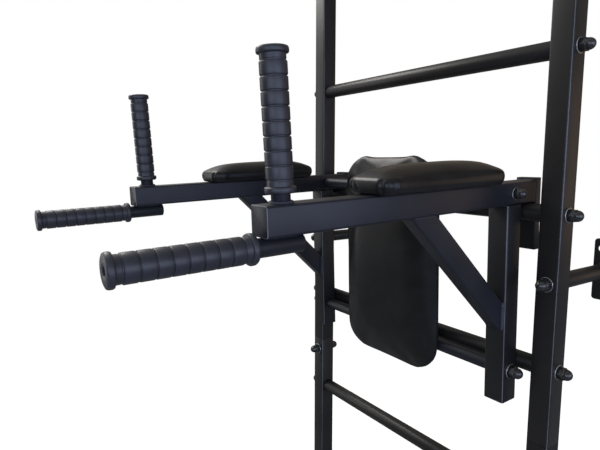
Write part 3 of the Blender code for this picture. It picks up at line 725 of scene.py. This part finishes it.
def buildWelds():
    f = frameSizes
    half = tube["size"] / 2
    across = braceSizes["depth"] * math.sqrt(2) / 2
    braceLow = braceSizes["centreSum"] - f["postFront"]
    braceTopY = braceSizes["centreSum"] - f["armBottom"]
    for side, sign in sides:
        x = sign * station["armX"]
        runs = []
        for edge in (-1, 1):
            spot = x + edge * (braceSizes["width"] / 2 + 0.0004)
            outer, front = spot + edge * 0.0010, f["postFront"] - 0.0010
            runs.append(((outer, front, braceLow - across + 0.004), (outer, front, braceLow + across - 0.002), "brace"))
            below = f["armBottom"] - 0.0006
            runs.append(((spot, braceTopY - across + 0.006, below), (spot, braceTopY + across - 0.006, below),
                         "braceTop"))
        below = f["armBottom"] - 0.0004
        for edge in (-1, 1):
            spot = x + edge * 0.0062
            runs.append(((spot, f["armFront"] + 0.006, below), (spot, handle["frontStart"] - 0.006, below),
                         "frontHandle"))
        low, high = x - half + 0.003, x + half - 0.003
        for spotY in (f["postFront"] + 0.0006, f["postCentre"] + half - 0.0006):
            runs.append(((low, spotY, f["armBottom"]), (high, spotY, f["armBottom"]), "post"))
        above = f["armTop"] - 0.0002
        runs.append(((low, f["armBack"], above), (high, f["armBack"], above), "armBack"))
        beads = [weldBead(start, end, weldSizes[kind]) for start, end, kind in runs]
        beads.append(weldRing(handle["diameter"] / 2 + 0.0010, weldSizes["uprightHandle"],
                              (x, handle["uprightY"], f["armTop"] + 0.0008)))
        stationPiece(joinPieces(beads), f"weldBeads_{side}", [], weldCoat)


# Pads

armPad = {"width": 0.0895, "length": 0.268, "front": -0.371, "side": 0.027, "crown": 0.0145, "corner": 0.023,
          "rearRise": 0.03, "fullness": (2.4, 6.0), "voxel": 0.0034, "pressure": 2.5, "cap": 0.0020}
backPad = {"width": 0.284, "length": 0.4573, "bottom": -0.351, "side": 0.016, "crown": 0.016, "corner": 0.070,
           "rearRise": 0.0, "fullness": (6.0, 8.0), "voxel": 0.005, "pressure": 1.5, "cap": 0.004}
padDrawIn, padEdgeShare = 0.004, 0.42


def padForm(pad, shrink):
    # a rounded block on local Z 0, drawn in at the base, with a soft edge and a crowned top
    width, length = pad["width"] - 2 * shrink, pad["length"] - 2 * shrink
    base = squareBar(width - 2 * padDrawIn, length - 2 * padDrawIn, 0, 0.0005, pad["corner"] - padDrawIn, 8)
    startEdit(base)
    pickFaces(base, lambda middle, normal: normal.z > 0.9)
    edge = pad["side"] * padEdgeShare
    straight = pad["side"] - edge
    rings = [(-padDrawIn * 0.3, straight * 0.35), (0, straight * 0.7), (0, straight)]
    for degrees in (15, 30, 45):
        turn = math.radians(degrees)
        rings.append((edge * (math.cos(turn) - 1), straight + edge * math.sin(turn)))
    halfX, halfY, rise = width / 2 - padDrawIn, length / 2 - padDrawIn, 0.0005
    for outward, height in rings:
        bpy.ops.mesh.extrude_region_move(TRANSFORM_OT_translate={"value": (0, 0, height - rise)})
        share = (width / 2 + outward) / halfX, (length / 2 + outward) / halfY
        bpy.ops.transform.resize(value=(*share, 1), center_override=(0, 0, height))
        halfX, halfY, rise = width / 2 + outward, length / 2 + outward, height
    previous = 1
    for share in (0.96, 0.9, 0.82, 0.72, 0.6, 0.46, 0.3, 0.12):
        bpy.ops.mesh.extrude_region_move(TRANSFORM_OT_translate={"value": (0, 0, 0.0001)})
        bpy.ops.transform.resize(value=(share / previous, share / previous, 1), center_override=(0, 0, 0))
        previous = share
    stopEdit()
    top = pad["side"] + pad["crown"] - rise
    for vert in base.data.vertices:
        if vert.co.z > rise + 0.00005:
            across = 1 - min(1, abs(vert.co.x) / halfX) ** pad["fullness"][0]
            along = 1 - min(1, abs(vert.co.y) / halfY) ** pad["fullness"][1]
            vert.co.z = rise + top * across * along
        vert.co.z *= 1 + pad["rearRise"] * vert.co.y / (length / 2)
    return base


def swellPad(piece, pad):
    # the cover is blown up slightly against its board, and no point moves further than the cap
    remesh = piece.modifiers.new("voxels", "REMESH")
    remesh.mode = "VOXEL"
    remesh.voxel_size = pad["voxel"]
    applyModifiers(piece)
    start = [vert.co.copy() for vert in piece.data.vertices]
    held = piece.vertex_groups.new(name="held")
    for vert in piece.data.vertices:
        if vert.co.z < 0.004:
            held.add([vert.index], 1.0, "REPLACE")
    cloth = piece.modifiers.new("cover", "CLOTH")
    settings = cloth.settings
    settings.quality = 6
    settings.mass = 0.3
    settings.tension_stiffness = 25
    settings.compression_stiffness = 25
    settings.shear_stiffness = 15
    settings.bending_stiffness = 0.6
    settings.use_pressure = True
    settings.uniform_pressure_force = pad["pressure"]
    settings.vertex_group_mass = "held"
    settings.effector_weights.gravity = 0
    scene = bpy.context.scene
    for step in range(1, 21):
        scene.frame_set(step)
    applyModifiers(piece)
    scene.frame_set(1)
    for vert, first in zip(piece.data.vertices, start):
        move = vert.co - first
        if move.length > pad["cap"]:
            vert.co = first + move.normalized() * pad["cap"]
    piece.vertex_groups.clear()
    return piece


def smoothOver(piece, repeats, factor=0.5):
    smooth = piece.modifiers.new("settled", "SMOOTH")
    smooth.factor = factor
    smooth.iterations = repeats
    return applyModifiers(piece)


def subdivided(piece, levels=1):
    finer = piece.modifiers.new("finer", "SUBSURF")
    finer.levels = levels
    finer.render_levels = levels
    return applyModifiers(piece)


def pressFolds(piece, folds):
    # each fold is a start, an end, a width and a depth; it sinks the cover along its normals
    normals = [vert.normal.copy() for vert in piece.data.vertices]
    for start, end, width, depth in folds:
        start, end = Vector(start), Vector(end)
        run = end - start
        for vert, normal in zip(piece.data.vertices, normals):
            share = max(0, min(1, (vert.co - start).dot(run) / run.length_squared))
            reach = (vert.co - start - run * share).length / width
            if reach < 1:
                fade = 1 - abs(2 * share - 1) ** 4
                vert.co -= normal * depth * fade * (1 - reach) ** 1.5
    piece.data.update()


# pleats: angle from the front face, width and depth; swell and crease: width and depth
padFolds = {"pleats": ((25, 0.0062, 0.0032), (61, 0.0040, 0.0016)), "swell": (0.014, -0.0012),
            "crease": (0.0028, 0.0018)}


def armPadFolds():
    # two pleats round each front corner, a swell behind the second, and a slanting crease beside the left corner
    half, end, reach = armPad["width"] / 2 + 0.0015, armPad["length"] / 2 + 0.0015, armPad["corner"] + 0.0015
    low, high = 0.001, armPad["side"] - 0.002
    folds = []
    for sign in (-1, 1):
        cornerX, cornerY = sign * (half - reach), reach - end
        for angle, width, depth in padFolds["pleats"]:
            turn = math.radians(angle)
            spotX, spotY = cornerX + sign * reach * math.sin(turn), cornerY - reach * math.cos(turn)
            folds.append(((spotX, spotY, low), (spotX, spotY, high), width, depth))
        folds.append(((sign * half, cornerY, low), (sign * half, cornerY, high), *padFolds["swell"]))
    leftX = -half + reach
    folds.append(((leftX - 0.003, -end, high - 0.002), (leftX + 0.011, -end, low + 0.001), *padFolds["crease"]))
    return folds


def repaintNode(node, material):
    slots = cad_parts[node].data.materials
    slots.clear()
    slots.append(material)


def buildArmPads():
    middle = armPad["front"] + armPad["length"] / 2
    for side, sign in sides:
        piece = padForm(armPad, -0.0015)
        swellPad(piece, armPad)
        smoothOver(piece, 3)
        subdivided(piece)
        pressFolds(piece, armPadFolds())
        local = Matrix.Translation((sign * station["armX"], middle, frameSizes["armTop"] + gap))
        stationPiece(piece, f"armPadCover_{side}", [f"arm_pad_{side}"], vinyl, local, 60)
        repaintNode(f"arm_pad_board_{side}", boardWood)


# where the top edge turns into its corners the cover stands up a little, and between them it dips
backPadTop = {"reach": 0.035, "earWidth": 0.014, "earRise": 0.0022, "dipWidth": 0.06, "dipDepth": 0.0016}


def buildBackPad():
    piece = padForm(backPad, 0.001)
    swellPad(piece, backPad)
    smoothOver(piece, 16)
    subdivided(piece)
    half, end, corner = backPad["width"] / 2, backPad["length"] / 2, backPad["corner"]
    for vert in piece.data.vertices:
        near = max(0, (vert.co.y - (end - backPadTop["reach"])) / backPadTop["reach"])
        ear = math.exp(-((abs(vert.co.x) - (half - corner)) / backPadTop["earWidth"]) ** 2)
        dip = math.exp(-(vert.co.x / backPadTop["dipWidth"]) ** 4)
        vert.co.y += near * (backPadTop["earRise"] * ear - backPadTop["dipDepth"] * dip)
    piece.data.update()
    f = frameSizes
    back = f["postCentre"] - f["barDiameter"] / 2 - gap
    middle = backPad["bottom"] + backPad["length"] / 2
    local = Matrix.Translation((0, back, middle)) @ towardsFront
    stationPiece(piece, "backPadCover", ["back_pad"], vinyl, local, 60)
    repaintNode("back_pad_board", boardWood)


buildUprights()
print("uprights made")
buildRungs()
buildSeamBolts()
print("rungs and bolts made")
buildBrackets()
print("wall brackets made")
buildStationFrame()
buildCrossbars()
buildHandles()
buildWelds()
print("dip station made")
buildArmPads()
buildBackPad()
print("pads made")
removePiece(nutMaster)
for side, sign in sides:
    repaintNode(f"joint_sleeve_{side}", darkSteel)


# Floor, light and camera

def buildStage():
    bpy.ops.mesh.primitive_plane_add(size=14, location=(0, 0, -0.0006))
    floor = bpy.context.object
    floor.name = "studioFloor"
    startEdit(floor)
    bpy.ops.mesh.select_all(action="SELECT")
    bpy.ops.mesh.subdivide(number_cuts=6)
    stopEdit()
    material, nodes, links, shader = newMaterial("paleFloor")
    shader.inputs["Base Color"].default_value = (0.30, 0.30, 0.295, 1)
    shader.inputs["Roughness"].default_value = 0.9
    shader.inputs["Emission Color"].default_value = (1, 1, 1, 1)
    path = nodes.new("ShaderNodeLightPath")
    seen = nodes.new("ShaderNodeMath")
    seen.operation = "MULTIPLY"
    seen.inputs[1].default_value = 0.88
    links.new(path.outputs["Is Camera Ray"], seen.inputs[0])
    links.new(seen.outputs["Value"], shader.inputs["Emission Strength"])
    settle(floor)
    floor.data.materials.append(material)


def buildWorld():
    world = bpy.data.worlds.new("studio")
    bpy.context.scene.world = world
    world.use_nodes = True
    nodes, links = world.node_tree.nodes, world.node_tree.links
    nodes.clear()
    output = nodes.new("ShaderNodeOutputWorld")
    mix = nodes.new("ShaderNodeMixShader")
    soft = nodes.new("ShaderNodeBackground")
    soft.inputs["Color"].default_value = (0.95, 0.97, 1.0, 1)
    soft.inputs["Strength"].default_value = 0.36
    white = nodes.new("ShaderNodeBackground")
    # in reflections the studio is bright from just above the horizon upwards, less so at the right, and dim below
    direction = nodes.new("ShaderNodeTexCoord")
    axes = nodes.new("ShaderNodeSeparateXYZ")
    links.new(direction.outputs["Generated"], axes.inputs["Vector"])

    def along(axis, start, end, low, high):
        part = nodes.new("ShaderNodeMapRange")
        part.interpolation_type = "SMOOTHSTEP"
        for socket, value in (("From Min", start), ("From Max", end), ("To Min", low), ("To Max", high)):
            part.inputs[socket].default_value = value
        links.new(axes.outputs[axis], part.inputs["Value"])
        return part.outputs["Result"]

    def combined(operation, first, second):
        both = nodes.new("ShaderNodeMath")
        both.operation = operation
        links.new(first, both.inputs[0])
        links.new(second, both.inputs[1])
        return both.outputs["Value"]

    above = combined("MULTIPLY", along("Z", 0.05, 0.42, 0.0, 0.85), along("X", -0.3, 0.6, 1.0, 0.4))
    above = combined("MULTIPLY", above, along("Y", 0.05, 0.5, 1.0, 0.30))
    strength = combined("ADD", along("Y", -0.9, 0.1, 0.04, 0.14), above)
    strength = combined("MULTIPLY", strength, along("Z", -0.5, 0.0, 0.3, 1.0))
    path = nodes.new("ShaderNodeLightPath")
    warm = nodes.new("ShaderNodeMix")  # the studio behind the wall bars is warmer in reflections
    warm.data_type = "RGBA"
    warm.inputs["A"].default_value = (1, 1, 1, 1)
    warm.inputs["B"].default_value = (1.0, 0.82, 0.66, 1)
    notSeen = nodes.new("ShaderNodeMath")
    notSeen.operation = "SUBTRACT"
    notSeen.inputs[0].default_value = 1.0
    links.new(path.outputs["Is Camera Ray"], notSeen.inputs[1])
    links.new(combined("MULTIPLY", along("Y", 0.2, 0.7, 0.0, 1.0), notSeen.outputs["Value"]), warm.inputs["Factor"])
    links.new(warm.outputs["Result"], white.inputs["Color"])
    shown = nodes.new("ShaderNodeMix")
    links.new(path.outputs["Is Camera Ray"], shown.inputs["Factor"])
    links.new(strength, shown.inputs["A"])
    shown.inputs["B"].default_value = 1.0
    links.new(shown.outputs["Result"], white.inputs["Strength"])
    total = path.outputs["Is Camera Ray"]
    for rayKind in ("Is Glossy Ray", "Is Transmission Ray"):
        total = combined("MAXIMUM", total, path.outputs[rayKind])
    links.new(total, mix.inputs["Fac"])
    links.new(soft.outputs["Background"], mix.inputs[1])
    links.new(white.outputs["Background"], mix.inputs[2])
    links.new(mix.outputs["Shader"], output.inputs["Surface"])


def softLight(name, place, target, size, power, colour):
    bpy.ops.object.light_add(type="AREA", location=place)
    lamp = bpy.context.object
    lamp.name = name
    lamp.data.shape = "RECTANGLE"
    lamp.data.size, lamp.data.size_y = size
    lamp.data.energy = power
    lamp.data.color = colour
    lamp.visible_camera = False
    lamp.rotation_euler = (Vector(target) - Vector(place)).to_track_quat("-Z", "Y").to_euler()


# the focal length is in pixels of an image this wide
cameraSizes = {"place": (0.798, -1.0335, 1.6024), "down": 7.18, "turn": 56.05, "focal": 505.13, "imageWidth": 600}


def buildCamera():
    c = cameraSizes
    bpy.ops.object.camera_add(location=c["place"],
                              rotation=(math.radians(90 - c["down"]), 0, math.radians(c["turn"])))
    camera = bpy.context.object
    camera.data.sensor_fit = "HORIZONTAL"
    camera.data.sensor_width = 36
    camera.data.lens = c["focal"] * 36 / c["imageWidth"]
    camera.data.clip_start = 0.02
    bpy.context.scene.camera = camera


buildStage()
buildWorld()
softLight("overheadLight", (-2.4, -1.3, 3.75), (0, -0.35, 1.6), (2.0, 1.2), 70, (1.0, 0.97, 0.93))
softLight("leftLight", (-4.7, -3.25, 1.75), (0, -0.4, 1.6), (1.4, 2.8), 35, (1.0, 1.0, 1.0))
softLight("sideLight", (3.2, -0.5, 1.6), (0.2, -0.5, 1.5), (3.6, 1.8), 72, (0.62, 0.71, 1.0))
softLight("frontLight", (1.9, -3.4, 1.7), (0.15, -0.45, 1.5), (2.8, 1.4), 54, (0.64, 0.73, 1.0))
softLight("backLight", (1.8, 2.2, 1.55), (0.3, -0.2, 1.5), (1.2, 1.3), 4.5, (1.0, 0.70, 0.46))
buildCamera()
bpy.context.scene.view_settings.view_transform = "Standard"
print("stage, lights and camera made")
